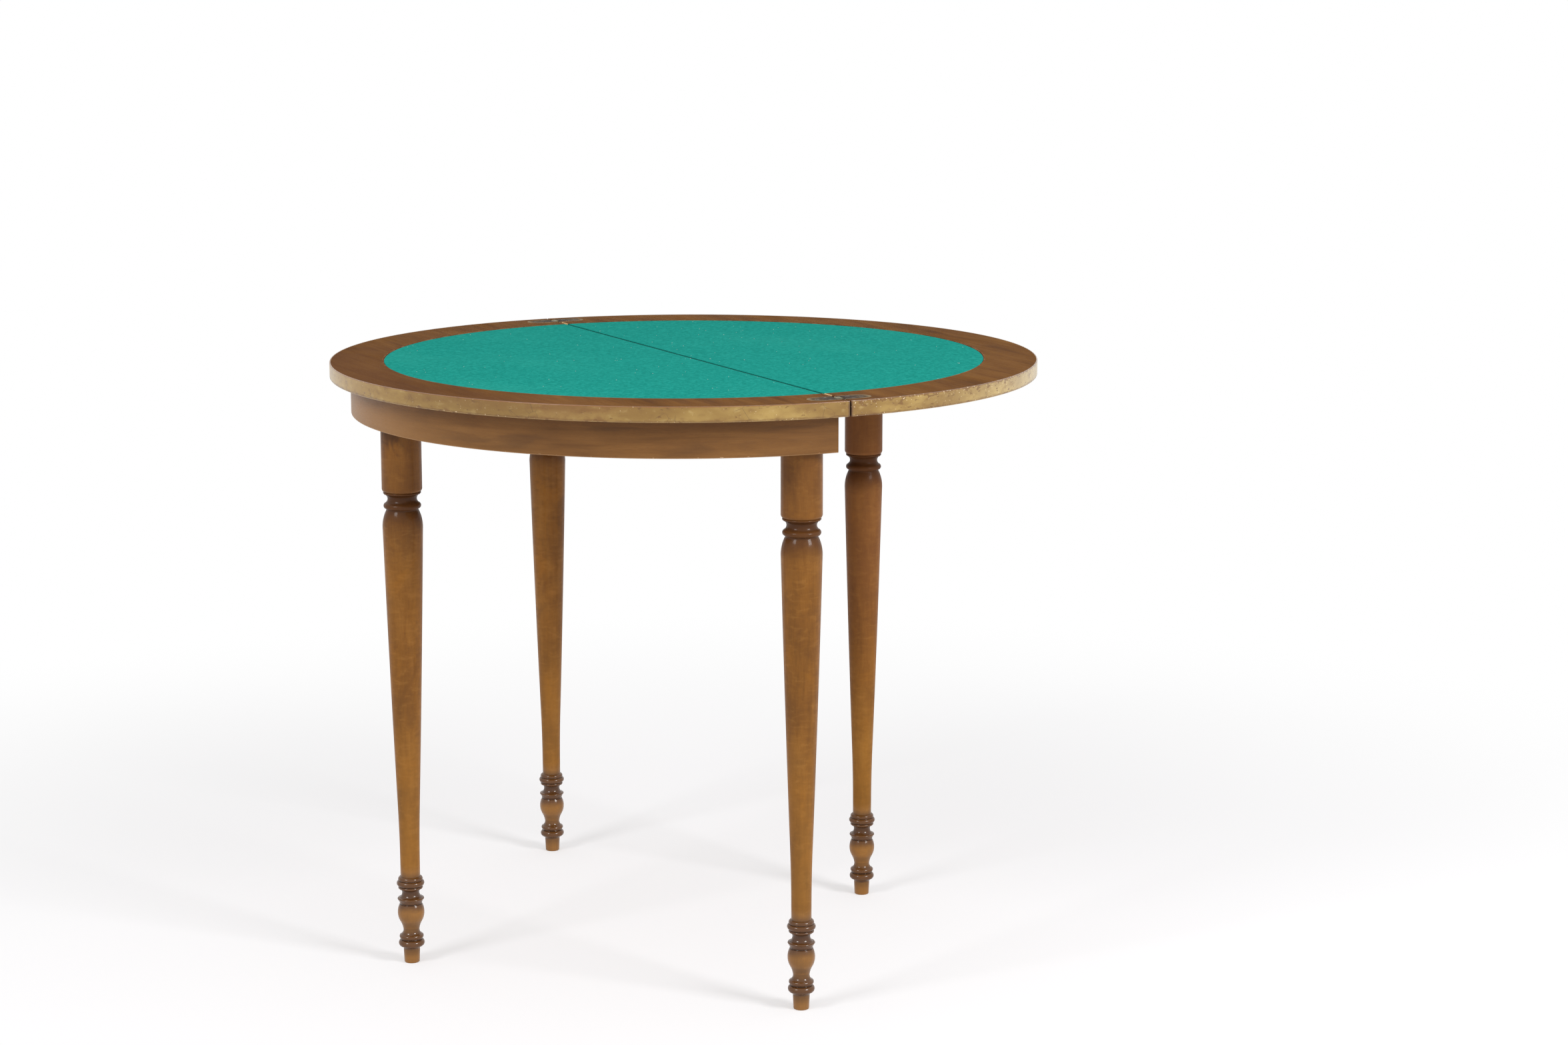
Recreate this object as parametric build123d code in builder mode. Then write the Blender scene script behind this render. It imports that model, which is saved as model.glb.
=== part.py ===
from build123d import *
from math import sqrt
import os

os.makedirs("parts", exist_ok=True)

# A half-moon games table, standing open on the floor at Z = 0.
# The joint between the two halves of the top runs along X.
# The fixed half and its frame lie on -Y, the folding half on +Y.
# The fourth leg is drawn out under the folding half, as it stands in use.

# Overall sizes
table_height = 750.0
top_radius = 450.0
top_thickness = 18.5
joint_gap = 2.0

# Skins of the top
border_thickness = 1.5
veneer_thickness = 1.0
band_thickness = 1.5
border_width = 68.6
baize_thickness = 1.2
baize_groove = 0.8
top_arris = 0.8

# Card-table hinges, let in flush at both ends of the joint
hinge_inset = 29.0
leaf_reach = 41.0
leaf_width = 28.0
leaf_thickness = 3.0
pivot_depth = 2.5
closed_gap = 1.0
pin_radius = 1.0
pin_end_cover = 0.5
link_width = 12.0
link_side_gap = 0.2
running_fit = 0.05
seated_fit = 0.02
let_in_gap = 0.2

# Hinge screws: two beside the knuckle and one at the round end
hinge_screw_radius = 1.5
hinge_screw_head = 3.1
hinge_screw_length = 12.0
hinge_screw_sink = 0.1
screw_row_reach = 15.0
screw_row_spread = 8.0
screw_end_reach = 29.0

# Frame under the fixed half
top_overhang = 26.0
apron_thickness = 18.0
apron_height = 46.0
apron_arris = 1.0
frame_inset = 2.0
rail_thickness = 16.0
corner_block_length = 56.0
corner_block_depth = 60.0
front_block_width = 90.0
front_block_depth = 44.0
glue_block_size = 22.0
glue_block_length = 50.0
glue_block_height = 30.0
glue_block_angles = (30.0, 72.0)
glue_line = 0.1

# Legs: their place in from the apron's face, from the joint and from the flap's rim
leg_inset = 38.0
leg_setback = 30.0
slide_leg_inset = 189.0
leg_radius = 24.9
tenon_radius = 11.0
tenon_length = 32.0
tenon_gap = 1.0

# Pull-out slide that carries the fourth leg and the folding half
slide_width = 198.4
slide_side_gap = 0.8
slide_gap = 0.3
arm_thickness = 20.0
arm_side_gap = 0.5
arm_end_gap = 3.6
ledge_thickness = 8.0
ledge_lift = 2.0
ledge_end_gap = 2.0
guide_web = 18.0
guide_end_gap = 0.4
tie_thickness = 20.0
tie_lift = 1.5
tie_drop = 4.2
stop_width = 21.0
stop_length = 18.0
stop_height = 17.5
stop_setback = 4.0
slide_block_width = 54.0
slide_block_depth = 48.0

# Pan-head screws that hold the fixed half to its frame from below
top_screw_radius = 2.0
top_screw_head = 4.0
top_screw_head_height = 3.0
top_screw_cover = 20.0
top_screw_bite = 11.0
top_screw_fit = 0.1
pocket_gap = 0.4
guide_screw_shares = (0.17, 0.76)
corner_screw_inset = 12.0
front_screw_spread = 37.0
front_screw_inset = 18.0

# Turned leg: the lower turnings from the floor up, each with its radius and its length
foot_radius = 9.6
foot_arris = 1.2
foot_neck_radius = 10.3
foot_length = 13.8
foot_fillet_radius = 13.2
foot_fillet_length = 5.6
foot_bead_radius = 15.9
foot_bead_rise = 3.8
foot_bead_fall = 6.0
foot_groove_radius = 13.7
low_disc_radius = 15.1
low_disc_length = 5.3
low_neck_radius = 10.4
low_neck_rise = 8.7
low_neck_fall = 9.6
vase_start_radius = 13.5
vase_radius = 16.8
vase_rise = 12.6
vase_fall = 11.2
vase_groove_radius = 13.9
high_disc_radius = 16.7
high_disc_length = 6.0
high_neck_radius = 11.1
high_neck_rise = 7.7
high_neck_fall = 6.5
step_radius = 15.4
step_length = 2.2
ring_radius = 17.4
ring_rise = 4.2
ring_fall = 3.9
lip_radius = 15.3
lip_length = 2.7
lip_fillet_length = 6.0
taper_low_radius = 12.2
taper_bend_radius = 12.45
taper_bend_rise = 38.0
taper_start_radius = 13.35
taper_start_rise = 37.0

# Upper turnings, from the underside of the apron down
cylinder_length = 76.0
cylinder_turn_radius = 24.2
cylinder_turn_rise = 1.9
cylinder_turn_fall = 3.0
collar_ring_radius = 23.0
collar_ring_length = 2.5
collar_step_radius = 22.6
collar_neck_radius = 18.1
collar_neck_fall = 6.8
collar_neck_rise = 7.5
collar_bead_radius = 23.1
collar_bead_side_radius = 21.9
collar_bead_fall = 3.5
collar_bead_rise = 2.6
collar_groove_radius = 19.9
shoulder_turn_radius = 23.8
shoulder_turn_length = 10.2
shoulder_radius = 24.7
shoulder_length = 13.0

# Heights and places that follow from the sizes
underside = table_height - top_thickness
baize_radius = top_radius - border_width
hinge_centre = top_radius - hinge_inset
apron_radius = top_radius - top_overhang
leg_ring_radius = apron_radius - leg_inset
slide_reach = top_radius - slide_leg_inset
core_top = table_height - border_thickness
frame_bottom = underside - apron_height
apron_inner = apron_radius - apron_thickness
edge_line = joint_gap / 2
setback = pivot_depth + (closed_gap - joint_gap) / 2
pivot_line = edge_line + setback
pivot_height = table_height - pivot_depth
barrel_radius = pivot_depth
rail_back = frame_inset + rail_thickness
side_leg_x = sqrt(leg_ring_radius**2 - leg_setback**2)
corner_block_inner = apron_inner - corner_block_length
travel = slide_reach + leg_setback
slide_half = slide_width / 2
arm_outer = slide_half
arm_inner = arm_outer - arm_thickness
arm_length = sqrt(apron_inner**2 - arm_outer**2) - arm_end_gap - rail_back
guide_inner = arm_outer + arm_side_gap
guide_outer = guide_inner + guide_web
guide_end = sqrt(apron_inner**2 - guide_outer**2) - guide_end_gap
rail_inner = slide_half + slide_side_gap
slide_top = underside - slide_gap
ledge_bottom = frame_bottom + ledge_lift
ledge_top = ledge_bottom + ledge_thickness
arm_bottom = ledge_top + slide_gap
ledge_inner = arm_inner - slide_gap
stop_front = rail_back + stop_setback
stop_back = stop_front + stop_length
tie_front = stop_back + slide_gap
slide_front_back = travel - rail_back

# Heights of the turnings, added up from the floor and down from the apron
foot_top = foot_arris + foot_length
foot_bead_low = foot_top + foot_fillet_length
foot_bead_height = foot_bead_low + foot_bead_rise
foot_groove_height = foot_bead_height + foot_bead_fall
low_disc_height = foot_groove_height + low_disc_length
low_neck_height = low_disc_height + low_neck_rise
vase_low = low_neck_height + low_neck_fall
vase_height = vase_low + vase_rise
vase_groove_height = vase_height + vase_fall
high_disc_height = vase_groove_height + high_disc_length
high_neck_height = high_disc_height + high_neck_rise
step_low = high_neck_height + high_neck_fall
ring_low = step_low + step_length
ring_height = ring_low + ring_rise
lip_low = ring_height + ring_fall
lip_top = lip_low + lip_length
taper_low = lip_top + lip_fillet_length
taper_bend = taper_low + taper_bend_rise
taper_start = taper_bend + taper_start_rise
cylinder_low = frame_bottom - cylinder_length
cylinder_turn = cylinder_low - cylinder_turn_fall
collar_ring_low = cylinder_turn - cylinder_turn_rise
collar_step = collar_ring_low - collar_ring_length
collar_neck = collar_step - collar_neck_fall
collar_bead = collar_neck - collar_neck_rise
collar_bead_side = collar_bead - collar_bead_fall
collar_groove = collar_bead_side - collar_bead_rise
shoulder_turn = collar_groove - shoulder_turn_length
shoulder_low = shoulder_turn - shoulder_length


def save(piece, name):
    piece.part.label = name
    export_step(piece.part, f"parts/{name}.step")


def half_plan(radius, edge):
    # Half a disc on the fixed side, up to a line this far from the joint
    Circle(radius)
    with Locations((0, -edge)):
        Rectangle(2 * top_radius, 2 * top_radius, align=(Align.CENTER, Align.MIN), mode=Mode.SUBTRACT)


def leaf_plan(x, gap):
    # Outline of one hinge leaf: straight sides and a round end
    round_centre = leaf_reach - leaf_width / 2
    with Locations((x, -round_centre)):
        Circle(leaf_width / 2 + gap)
        Rectangle(leaf_width + 2 * gap, round_centre, align=(Align.CENTER, Align.MIN))


def hinge_screw_places():
    places = []
    for x in (-hinge_centre, hinge_centre):
        for spread in (-screw_row_spread, screw_row_spread):
            places.append((x + spread, -screw_row_reach))
        places.append((x, -screw_end_reach))
    return places


def top_screw_places():
    places = []
    for side in (-1, 1):
        for share in guide_screw_shares:
            places.append((side * (guide_inner + guide_web / 2), -share * guide_end))
        block_x = corner_block_inner + corner_screw_inset
        block_y = frame_inset + corner_block_depth - corner_screw_inset
        places.append((side * block_x, -block_y))
        places.append((side * front_screw_spread, -(apron_inner - front_block_depth + front_screw_inset)))
    return places


def drill_for_top_screws():
    # Shank hole and the pocket below it, cut out of a frame member
    with Locations(*[(x, y, underside) for x, y in top_screw_places()]):
        Cylinder(top_screw_radius + top_screw_fit, 2 * apron_height, mode=Mode.SUBTRACT)
    with Locations(*[(x, y, underside - top_screw_cover) for x, y in top_screw_places()]):
        Cylinder(
            top_screw_head + pocket_gap,
            apron_height,
            align=(Align.CENTER, Align.CENTER, Align.MAX),
            mode=Mode.SUBTRACT,
        )


# Core of one half of the top, with the hinge leaves and knuckles let in
with BuildPart() as half_core:
    with BuildSketch(Plane.XY.offset(underside)):
        half_plan(top_radius - band_thickness, edge_line)
    extrude(amount=top_thickness - border_thickness)
    with BuildSketch(Plane.XY.offset(table_height - leaf_thickness)):
        for x in (-hinge_centre, hinge_centre):
            leaf_plan(x, let_in_gap)
    extrude(amount=leaf_thickness, mode=Mode.SUBTRACT)
    with Locations((-hinge_centre, 0, table_height), (hinge_centre, 0, table_height)):
        Box(
            leaf_width + 2 * let_in_gap,
            2 * (pivot_line + barrel_radius + let_in_gap),
            2 * (pivot_depth + barrel_radius + let_in_gap),
            mode=Mode.SUBTRACT,
        )
    with Locations(*[(x, y, table_height) for x, y in hinge_screw_places()]):
        Cylinder(
            hinge_screw_radius + running_fit,
            hinge_screw_length + running_fit,
            align=(Align.CENTER, Align.CENTER, Align.MAX),
            mode=Mode.SUBTRACT,
        )

with BuildPart() as fixed_top:
    add(half_core.part)
    with Locations(*[(x, y, underside) for x, y in top_screw_places()]):
        Cylinder(
            top_screw_radius + running_fit,
            top_screw_bite + running_fit,
            align=(Align.CENTER, Align.CENTER, Align.MIN),
            mode=Mode.SUBTRACT,
        )
save(fixed_top, "fixed_top")

with BuildPart() as flap_top:
    mirror(half_core.part, about=Plane.XZ)
    with BuildSketch(Plane.XY.offset(underside)):
        Circle(top_radius)
    extrude(amount=veneer_thickness, mode=Mode.SUBTRACT)
save(flap_top, "flap_top")


# Veneer on the flap's underside, which is the top of the closed table
with BuildPart() as half_veneer:
    with BuildSketch(Plane.XY.offset(underside)):
        half_plan(top_radius - band_thickness - glue_line, edge_line)
    extrude(amount=veneer_thickness)

with BuildPart() as flap_veneer:
    mirror(half_veneer.part, about=Plane.XZ)
save(flap_veneer, "flap_veneer")


# Veneered border: a flat half ring round the baize, eased along the joint
with BuildPart() as fixed_border:
    with BuildSketch(Plane.XY.offset(core_top)):
        half_plan(top_radius - band_thickness - glue_line, edge_line)
        Circle(baize_radius + baize_groove, mode=Mode.SUBTRACT)
        for x in (-hinge_centre, hinge_centre):
            with BuildSketch(mode=Mode.SUBTRACT):
                leaf_plan(x, let_in_gap)
    extrude(amount=border_thickness)
    joint_edges = fixed_border.edges().filter_by(Axis.X).group_by(Axis.Y)[-1].group_by(Axis.Z)[-1]
    fillet(joint_edges, top_arris)
save(fixed_border, "fixed_border")

with BuildPart() as flap_border:
    mirror(fixed_border.part, about=Plane.XZ)
save(flap_border, "flap_border")


# Painted band round the rim, full thickness of the top
with BuildPart() as fixed_edge_band:
    with BuildSketch(Plane.XY.offset(underside)):
        half_plan(top_radius, edge_line)
        Circle(top_radius - band_thickness, mode=Mode.SUBTRACT)
    extrude(amount=top_thickness)
    rim_edges = fixed_edge_band.edges().filter_by(GeomType.CIRCLE).sort_by(SortBy.RADIUS)[-2:]
    fillet(rim_edges, top_arris)
save(fixed_edge_band, "fixed_edge_band")

with BuildPart() as flap_edge_band:
    mirror(fixed_edge_band.part, about=Plane.XZ)
save(flap_edge_band, "flap_edge_band")


# Baize, laid on the core inside the border
with BuildPart() as fixed_baize:
    with BuildSketch(Plane.XY.offset(core_top)):
        half_plan(baize_radius, edge_line + top_arris)
    extrude(amount=baize_thickness)
save(fixed_baize, "fixed_baize")

with BuildPart() as flap_baize:
    mirror(fixed_baize.part, about=Plane.XZ)
save(flap_baize, "flap_baize")


# Hinge leaves: a round-ended plate with a knuckle on each side of the link
with BuildPart() as fixed_hinge_leaves:
    with BuildSketch(Plane.XY.offset(table_height - leaf_thickness)):
        for x in (-hinge_centre, hinge_centre):
            leaf_plan(x, 0)
        with Locations((0, -pivot_line)):
            Rectangle(
                2 * top_radius, leaf_reach, align=(Align.CENTER, Align.MIN), mode=Mode.SUBTRACT
            )
    extrude(amount=leaf_thickness)
    with Locations((-hinge_centre, -pivot_line, pivot_height), (hinge_centre, -pivot_line, pivot_height)):
        Cylinder(barrel_radius, leaf_width, rotation=(0, 90, 0))
        Box(
            link_width + 2 * link_side_gap,
            2 * (barrel_radius + let_in_gap),
            2 * (barrel_radius + let_in_gap),
            mode=Mode.SUBTRACT,
        )
        Cylinder(pin_radius + seated_fit, leaf_width, rotation=(0, 90, 0), mode=Mode.SUBTRACT)
    with Locations(*[(x, y, table_height) for x, y in hinge_screw_places()]):
        CounterSinkHole(
            hinge_screw_radius + hinge_screw_sink,
            hinge_screw_head + hinge_screw_sink,
            depth=leaf_thickness,
            counter_sink_angle=90,
        )
save(fixed_hinge_leaves, "fixed_hinge_leaves")

with BuildPart() as flap_hinge_leaves:
    mirror(fixed_hinge_leaves.part, about=Plane.XZ)
save(flap_hinge_leaves, "flap_hinge_leaves")


# Loose link of each hinge, with an eye on each of the two pins
with BuildPart() as hinge_links:
    for x in (-hinge_centre, hinge_centre):
        with BuildSketch(Plane.YZ.offset(x - link_width / 2)):
            with Locations((0, pivot_height)):
                SlotCenterToCenter(2 * pivot_line, 2 * barrel_radius)
            with Locations((-pivot_line, pivot_height), (pivot_line, pivot_height)):
                Circle(pin_radius + running_fit, mode=Mode.SUBTRACT)
        extrude(amount=link_width)
save(hinge_links, "hinge_links")


# Hinge pins, held in the leaves
with BuildPart() as fixed_hinge_pins:
    with Locations((-hinge_centre, -pivot_line, pivot_height), (hinge_centre, -pivot_line, pivot_height)):
        Cylinder(pin_radius, leaf_width - 2 * pin_end_cover, rotation=(0, 90, 0))
save(fixed_hinge_pins, "fixed_hinge_pins")

with BuildPart() as flap_hinge_pins:
    mirror(fixed_hinge_pins.part, about=Plane.XZ)
save(flap_hinge_pins, "flap_hinge_pins")


# Countersunk hinge screws
with BuildPart() as fixed_hinge_screws:
    with Locations(*[(x, y, table_height - hinge_screw_sink) for x, y in hinge_screw_places()]):
        Cone(
            hinge_screw_radius,
            hinge_screw_head,
            hinge_screw_head - hinge_screw_radius,
            align=(Align.CENTER, Align.CENTER, Align.MAX),
        )
        Cylinder(
            hinge_screw_radius,
            hinge_screw_length - hinge_screw_sink,
            align=(Align.CENTER, Align.CENTER, Align.MAX),
        )
save(fixed_hinge_screws, "fixed_hinge_screws")

with BuildPart() as flap_hinge_screws:
    mirror(fixed_hinge_screws.part, about=Plane.XZ)
save(flap_hinge_screws, "flap_hinge_screws")


# Bow apron: half a hoop under the fixed half
with BuildPart() as bow_apron:
    with BuildSketch(Plane.XY.offset(frame_bottom)):
        half_plan(apron_radius, frame_inset)
        Circle(apron_inner, mode=Mode.SUBTRACT)
    extrude(amount=apron_height)
    lower_edges = bow_apron.edges().filter_by(GeomType.CIRCLE).group_by(Axis.Z)[0]
    fillet(lower_edges.sort_by(SortBy.RADIUS)[-1], apron_arris)
save(bow_apron, "bow_apron")


# Straight rails across the back, on both sides of the slide
for side, name in ((-1, "back_rail_left"), (1, "back_rail_right")):
    with BuildPart() as back_rail:
        with BuildSketch(Plane.XY.offset(frame_bottom)):
            with Locations((side * (rail_inner + corner_block_inner) / 2, -frame_inset)):
                Rectangle(
                    corner_block_inner - rail_inner, rail_thickness, align=(Align.CENTER, Align.MAX)
                )
        extrude(amount=apron_height)
    save(back_rail, name)


# Blocks in the corners, bored for the tenons of the side legs
for side, name in ((-1, "corner_block_left"), (1, "corner_block_right")):
    with BuildPart() as corner_block:
        with BuildSketch(Plane.XY.offset(frame_bottom)):
            with Locations((side * (corner_block_inner + corner_block_length), -frame_inset)):
                Rectangle(2 * corner_block_length, corner_block_depth, align=(Align.CENTER, Align.MAX))
            Circle(apron_inner - glue_line, mode=Mode.INTERSECT)
        extrude(amount=apron_height)
        with Locations((side * side_leg_x, -leg_setback, frame_bottom)):
            Cylinder(
                tenon_radius + glue_line,
                2 * (tenon_length + tenon_gap),
                mode=Mode.SUBTRACT,
            )
        drill_for_top_screws()
    save(corner_block, name)


# Block behind the middle of the apron, bored for the front leg
with BuildPart() as front_block:
    with BuildSketch(Plane.XY.offset(frame_bottom)):
        with Locations((0, front_block_depth - apron_inner)):
            Rectangle(front_block_width, 2 * front_block_depth, align=(Align.CENTER, Align.MAX))
        Circle(apron_inner - glue_line, mode=Mode.INTERSECT)
    extrude(amount=apron_height)
    with Locations((0, -leg_ring_radius, frame_bottom)):
        Cylinder(tenon_radius + glue_line, 2 * (tenon_length + tenon_gap), mode=Mode.SUBTRACT)
    drill_for_top_screws()
save(front_block, "front_block")


# Glue blocks between the apron and the top
with BuildPart() as glue_blocks:
    with BuildSketch(Plane.XY.offset(underside - glue_block_height)):
        for angle in glue_block_angles:
            for turn in (-angle, angle):
                with PolarLocations(apron_inner, 1, start_angle=turn - 90):
                    Rectangle(2 * glue_block_size, glue_block_length)
        Circle(apron_inner - glue_line, mode=Mode.INTERSECT)
    extrude(amount=glue_block_height)
save(glue_blocks, "glue_blocks")


# Guides of the slide: an upright web with a ledge under the arm
for side, name in ((-1, "guide_left"), (1, "guide_right")):
    with BuildPart() as guide:
        with BuildSketch(Plane.XY.offset(ledge_bottom)):
            with Locations((side * (guide_inner + guide_web / 2), -rail_back)):
                Rectangle(guide_web, guide_end - rail_back, align=(Align.CENTER, Align.MAX))
        extrude(amount=underside - ledge_bottom)
        with BuildSketch(Plane.XY.offset(ledge_bottom)):
            with Locations((side * (ledge_inner + guide_outer) / 2, -rail_back - ledge_end_gap)):
                Rectangle(
                    guide_outer - ledge_inner,
                    guide_end - rail_back - ledge_end_gap,
                    align=(Align.CENTER, Align.MAX),
                )
        extrude(amount=ledge_thickness)
        drill_for_top_screws()
    save(guide, name)


# Stop blocks, one on each ledge, that the tie bar meets when the leg is out
with BuildPart() as slide_stops:
    with BuildSketch(Plane.XY.offset(ledge_bottom)):
        for side in (-1, 1):
            with Locations((side * (ledge_inner - stop_width / 2), -stop_front)):
                Rectangle(stop_width, stop_length, align=(Align.CENTER, Align.MAX))
    extrude(amount=stop_height)
save(slide_stops, "slide_stops")


# Screws up through the frame into the fixed half
with BuildPart() as top_screws:
    with Locations(*[(x, y, underside - top_screw_cover) for x, y in top_screw_places()]):
        Cylinder(
            top_screw_head, top_screw_head_height, align=(Align.CENTER, Align.CENTER, Align.MAX)
        )
        Cylinder(
            top_screw_radius,
            top_screw_cover + top_screw_bite,
            align=(Align.CENTER, Align.CENTER, Align.MIN),
        )
save(top_screws, "top_screws")


def turned_leg(name, x, y):
    # One leg and its tenon, turned about an upright axis at this place
    with BuildPart() as leg:
        with BuildSketch(Plane((x, y, 0), x_dir=(1, 0, 0), z_dir=(0, -1, 0))):
            with BuildLine():
                Polyline(
                    (0, 0),
                    (foot_radius - foot_arris, 0),
                    (foot_radius, foot_arris),
                    (foot_neck_radius, foot_top),
                )
                SagittaArc(
                    (foot_neck_radius, foot_top), (foot_fillet_radius, foot_bead_low), -foot_arris
                )
                ThreePointArc(
                    (foot_fillet_radius, foot_bead_low),
                    (foot_bead_radius, foot_bead_height),
                    (foot_groove_radius, foot_groove_height),
                )
                SagittaArc(
                    (foot_groove_radius, foot_groove_height),
                    (low_disc_radius, low_disc_height),
                    foot_arris / 2,
                )
                ThreePointArc(
                    (low_disc_radius, low_disc_height),
                    (low_neck_radius, low_neck_height),
                    (vase_start_radius, vase_low),
                )
                ThreePointArc(
                    (vase_start_radius, vase_low),
                    (vase_radius, vase_height),
                    (vase_groove_radius, vase_groove_height),
                )
                SagittaArc(
                    (vase_groove_radius, vase_groove_height),
                    (high_disc_radius, high_disc_height),
                    foot_arris / 2,
                )
                ThreePointArc(
                    (high_disc_radius, high_disc_height),
                    (high_neck_radius, high_neck_height),
                    (step_radius, step_low),
                )
                Line((step_radius, step_low), (step_radius, ring_low))
                ThreePointArc(
                    (step_radius, ring_low), (ring_radius, ring_height), (lip_radius, lip_low)
                )
                Line((lip_radius, lip_low), (lip_radius, lip_top))
                SagittaArc((lip_radius, lip_top), (taper_low_radius, taper_low), -foot_arris)
                ThreePointArc(
                    (taper_low_radius, taper_low),
                    (taper_bend_radius, taper_bend),
                    (taper_start_radius, taper_start),
                )
                Line((taper_start_radius, taper_start), (shoulder_radius, shoulder_low))
                ThreePointArc(
                    (shoulder_radius, shoulder_low),
                    (shoulder_turn_radius, shoulder_turn),
                    (collar_groove_radius, collar_groove),
                )
                ThreePointArc(
                    (collar_groove_radius, collar_groove),
                    (collar_bead_side_radius, collar_bead_side),
                    (collar_bead_radius, collar_bead),
                )
                ThreePointArc(
                    (collar_bead_radius, collar_bead),
                    (collar_neck_radius, collar_neck),
                    (collar_step_radius, collar_step),
                )
                Line((collar_step_radius, collar_step), (collar_ring_radius, collar_ring_low))
                ThreePointArc(
                    (collar_ring_radius, collar_ring_low),
                    (cylinder_turn_radius, cylinder_turn),
                    (leg_radius, cylinder_low),
                )
                Polyline(
                    (leg_radius, cylinder_low),
                    (leg_radius, frame_bottom),
                    (tenon_radius, frame_bottom),
                    (tenon_radius, frame_bottom + tenon_length),
                    (0, frame_bottom + tenon_length),
                    (0, 0),
                )
            make_face()
        revolve(axis=Axis((x, y, 0), (0, 0, 1)))
    save(leg, name)


# The four turned legs are alike
turned_leg("leg_front", 0, -leg_ring_radius)
turned_leg("leg_left", -side_leg_x, -leg_setback)
turned_leg("leg_right", side_leg_x, -leg_setback)
turned_leg("leg_slide", 0, slide_reach)


# Front board of the slide: it closes the middle of the back rail
with BuildPart() as slide_front:
    with BuildSketch(Plane.XY.offset(frame_bottom)):
        with Locations((0, slide_front_back)):
            Rectangle(slide_width, rail_thickness, align=(Align.CENTER, Align.MIN))
    extrude(amount=slide_top - frame_bottom)
save(slide_front, "slide_front")


# Arms of the slide, running on the ledges
for side, name in ((-1, "slide_arm_left"), (1, "slide_arm_right")):
    with BuildPart() as slide_arm:
        with BuildSketch(Plane.XY.offset(arm_bottom)):
            with Locations((side * (arm_inner + arm_thickness / 2), slide_front_back)):
                Rectangle(arm_thickness, arm_length, align=(Align.CENTER, Align.MAX))
        extrude(amount=slide_top - arm_bottom)
    save(slide_arm, name)


# Tie bar between the arms
with BuildPart() as slide_tie:
    with BuildSketch(Plane.XY.offset(ledge_top + tie_lift)):
        with Locations((0, -tie_front)):
            Rectangle(2 * arm_inner, tie_thickness, align=(Align.CENTER, Align.MAX))
    extrude(amount=slide_top - tie_drop - ledge_top - tie_lift)
save(slide_tie, "slide_tie")


# Block behind the front board, bored for the fourth leg
with BuildPart() as slide_leg_block:
    with BuildSketch(Plane.XY.offset(frame_bottom)):
        with Locations((0, slide_front_back)):
            Rectangle(slide_block_width, slide_block_depth, align=(Align.CENTER, Align.MAX))
    extrude(amount=slide_top - frame_bottom)
    with Locations((0, slide_reach, frame_bottom)):
        Cylinder(tenon_radius + glue_line, 2 * (tenon_length + tenon_gap), mode=Mode.SUBTRACT)
save(slide_leg_block, "slide_leg_block")
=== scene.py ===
# %% [markdown]
# A folding games table, shown open. Shut, it is a half-moon side table: the flap folds over
# onto the fixed half, and the fourth leg slides in under it. Open, it is a round table
# covered with green baize. The solid model comes from CAD and stays where it is. Here it
# gets its finishes, and the pieces that need more than a plain solid are made again in the
# same place: the turned legs, the cloth and the screws. Lint is strewn on the cloth.
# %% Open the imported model
import math

import bmesh
import bpy
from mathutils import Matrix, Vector, noise


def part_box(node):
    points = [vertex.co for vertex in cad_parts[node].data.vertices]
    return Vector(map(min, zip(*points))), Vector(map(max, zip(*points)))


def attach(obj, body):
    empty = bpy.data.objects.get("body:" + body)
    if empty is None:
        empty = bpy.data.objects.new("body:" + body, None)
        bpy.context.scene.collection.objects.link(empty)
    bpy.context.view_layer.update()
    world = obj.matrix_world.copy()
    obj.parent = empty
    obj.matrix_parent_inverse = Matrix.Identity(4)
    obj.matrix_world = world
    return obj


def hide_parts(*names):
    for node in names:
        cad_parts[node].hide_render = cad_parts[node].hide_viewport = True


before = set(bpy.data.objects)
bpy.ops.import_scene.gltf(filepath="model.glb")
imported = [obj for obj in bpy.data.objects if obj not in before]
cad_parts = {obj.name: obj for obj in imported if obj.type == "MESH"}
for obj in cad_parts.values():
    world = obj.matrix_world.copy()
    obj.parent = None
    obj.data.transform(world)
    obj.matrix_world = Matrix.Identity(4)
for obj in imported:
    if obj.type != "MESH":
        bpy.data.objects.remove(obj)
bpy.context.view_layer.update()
MM = 0.001
scene = bpy.context.scene

# %% [markdown]
# The camera stands where the photographer stood. Its place and direction were worked out
# from the round rim, the baize circle and the four feet, so the table falls on the same
# part of the picture. A camera looks along its own -Z, and so does a lamp, so one function
# turns -Z to a direction for both.
# %% Stand the camera
camera_place = Vector((3.7103, -1.7498, 1.2875))
camera_heading = Vector((-0.8908, 0.4544, 0.0)).normalized()
camera_pitch = math.radians(10.425)
camera_focal = 74.16
sensor_width = 36.0


def add_object(name, data, place=(0, 0, 0)):
    """A new object in the scene."""
    made = bpy.data.objects.new(name, data)
    made.location = place
    scene.collection.objects.link(made)
    return made


def aim(thing, direction):
    """Turns a camera or a lamp so that it looks in a direction."""
    thing.rotation_mode = "QUATERNION"
    thing.rotation_quaternion = direction.to_track_quat("-Z", "Y")


camera_data = bpy.data.cameras.new("camera")
camera_data.lens = camera_focal
camera_data.sensor_width = sensor_width
scene.camera = add_object("camera", camera_data, camera_place)
dip = Vector((0, 0, math.sin(camera_pitch)))
aim(scene.camera, camera_heading * math.cos(camera_pitch) - dip)
print("camera", round(camera_place.length, 3), "m from the foot of the table's middle")

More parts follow.
